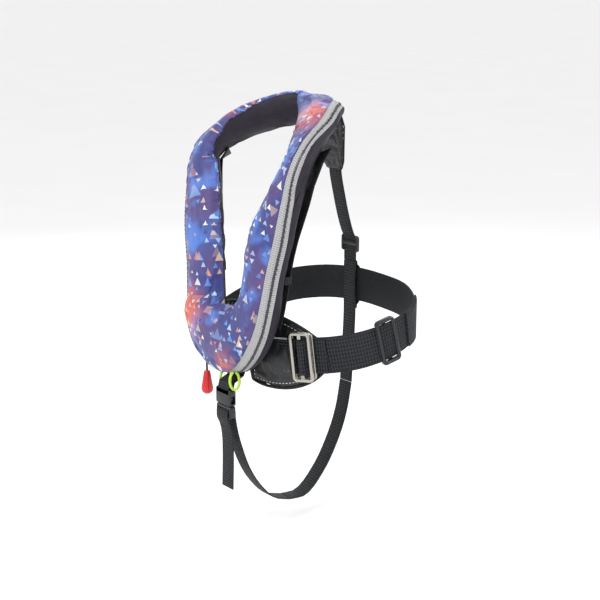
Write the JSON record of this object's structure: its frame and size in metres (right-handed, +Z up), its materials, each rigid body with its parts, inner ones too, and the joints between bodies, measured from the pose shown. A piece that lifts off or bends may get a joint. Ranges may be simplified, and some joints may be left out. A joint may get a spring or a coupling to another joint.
{
  "type": "inflatable life jacket",
  "caption": "Inflatable life jacket: ring-shaped printed cover over a folded lung, waist belt with steel buckle, padded waist, back strap and crotch strap.",
  "frame": {"origin": "middle of the neck opening, where the collar rests on the wearer", "axes": "+Z up, the wearer faces -Y, and the wearer's left side is +X"},
  "size_m": [0.3229, 0.2543, 0.5941],
  "materials": {
    "print_cloth": "printed padded cloth",
    "lining_cloth": "dark coated cloth",
    "zip_cloth": "silver woven tape",
    "coil_plastic": "moulded coil",
    "bladder_cloth": "coated yellow cloth",
    "webbing": "ribbed webbing",
    "pad_cloth": "slick dark cloth",
    "zinc": "die cast",
    "grey_plastic": "moulded",
    "cylinder_steel": "zinc plated",
    "pin_steel": "turned",
    "red_plastic": "moulded",
    "orange_plastic": "moulded",
    "cord_black": "braided",
    "black_plastic": "moulded acetal",
    "buckle_steel": "polished stainless",
    "lime_braid": "braided cord"
  },
  "bodies": {
    "jacket": {"cover_print": "print_cloth", "cover_lining": "lining_cloth", "zip_tape_print_side": "zip_cloth", "zip_tape_lining_side": "zip_cloth", "zip_coil": "coil_plastic", "bladder": "bladder_cloth", "harness_webbing_left": "webbing", "harness_webbing_right": "webbing", "keeper_band_left": "webbing", "keeper_band_right": "webbing", "inflator_body": "grey_plastic", "co2_cylinder": "cylinder_steel", "pin_spring": "pin_steel", "lever_pin": "pin_steel", "auto_cartridge": "orange_plastic", "auto_cartridge_cap": "grey_plastic", "oral_tube": "black_plastic", "oral_valve": "orange_plastic", "whistle": "orange_plastic", "waist_pad_left": "pad_cloth", "waist_pad_right": "pad_cloth", "webbing_patch": "webbing", "buckle_ring": "buckle_steel", "ring_webbing_loop": "webbing", "slide_webbing_loop": "webbing", "belt_side": "webbing", "belt_back": "webbing", "belt_tail": "webbing", "back_yoke": "pad_cloth", "back_strap_upper": "webbing", "back_strap_lower": "webbing", "belt_loop": "webbing", "crotch_strap_rear": "webbing", "buckle_female": "black_plastic", "buckle_webbing_loop": "webbing"},
    "pull_handle": {"pull_handle": "red_plastic", "pull_cord": "cord_black"},
    "firing_lever": {"firing_lever": "red_plastic"},
    "piercing_pin": {"piercing_pin": "pin_steel"},
    "oral_cap": {"oral_valve_cap": "black_plastic"},
    "crotch_buckle": {"buckle_male": "black_plastic", "crotch_strap_front": "webbing", "crotch_strap_tail": "webbing"},
    "prong_left": {"buckle_prong_left": "black_plastic"},
    "prong_right": {"buckle_prong_right": "black_plastic"},
    "front_slide": {"buckle_slide": "buckle_steel"},
    "tri_glide": {"belt_tri_glide": "black_plastic"},
    "back_adjuster": {"ladder_lock": "black_plastic"},
    "lime_left": {"lime_loop_left": "lime_braid"},
    "lime_right": {"lime_loop_right": "lime_braid"},
    "zip_slider": {"zip_slider": "zinc"},
    "zip_puller": {"zip_puller": "zinc"}
  },
  "joints": [
    {"name": "handle_pull", "type": "slide", "parent": "jacket", "child": "pull_handle", "axis": [0, 0, -1], "range_m": [0, 0.02]},
    {"name": "lever_swing", "type": "hinge", "parent": "jacket", "child": "firing_lever", "pos_m": [-0.0296, -0.09949, -0.29841], "axis": [0, 0.9945, -0.1049], "range_deg": [-62, 0]},
    {"name": "pin_travel", "type": "slide", "parent": "jacket", "child": "piercing_pin", "axis": [-0.309, 0.099, 0.9459], "range_m": [0, 0.003]},
    {"name": "cap_lift", "type": "slide", "parent": "jacket", "child": "oral_cap", "axis": [0.309, 0.099, 0.9459], "range_m": [0, 0.006]},
    {"name": "crotch_release", "type": "slide", "parent": "jacket", "child": "crotch_buckle", "axis": [0, 0, -1], "range_m": [0, 0.024]},
    {"name": "prong_left_flex", "type": "hinge", "parent": "crotch_buckle", "child": "prong_left", "pos_m": [0.0094, -0.106, -0.396], "axis": [0, 1, 0], "range_deg": [-22.1, 0]},
    {"name": "prong_right_flex", "type": "hinge", "parent": "crotch_buckle", "child": "prong_right", "pos_m": [-0.0094, -0.106, -0.396], "axis": [0, 1, 0], "range_deg": [0, 22.1]},
    {"name": "front_slide_tilt", "type": "hinge", "parent": "jacket", "child": "front_slide", "pos_m": [0.11098, -0.06294, -0.3105], "axis": [-0.1149, -0.041, 0.9925], "range_deg": [0, 6]},
    {"name": "tri_glide_shift", "type": "slide", "parent": "jacket", "child": "tri_glide", "axis": [0.143, 0.9581, 0.248], "range_m": [-0.0045, 0.0045]},
    {"name": "back_adjust", "type": "slide", "parent": "jacket", "child": "back_adjuster", "axis": [0, 0, 1], "range_m": [-0.008, 0]},
    {"name": "lime_left_swing", "type": "hinge", "parent": "jacket", "child": "lime_left", "pos_m": [0.0195, -0.105, -0.3448], "axis": [0.6451, 0.7641, 0], "range_deg": [-20, 5]},
    {"name": "lime_right_swing", "type": "hinge", "parent": "jacket", "child": "lime_right", "pos_m": [-0.0187, -0.093, -0.3541], "axis": [0.6451, 0.7641, 0], "range_deg": [-10, 20]},
    {"name": "zip_slide", "type": "slide", "parent": "jacket", "child": "zip_slider", "axis": [0.7743, 0.5952, 0.2151], "range_m": [-0.004, 0.004]},
    {"name": "puller_lift", "type": "hinge", "parent": "zip_slider", "child": "zip_puller", "pos_m": [-0.04585, 0.05351, -0.01928], "axis": [0.3169, -0.072, -0.9457], "range_deg": [0, 110]}
  ],
  "couplings": [
    {"joint": "lever_swing", "follows": "handle_pull", "rad_per_m": -54},
    {"joint": "pin_travel", "follows": "handle_pull", "ratio": 0.15},
    {"joint": "prong_left_flex", "follows": "crotch_release", "rad_per_m": -16},
    {"joint": "prong_right_flex", "follows": "crotch_release", "rad_per_m": 16}
  ]
}
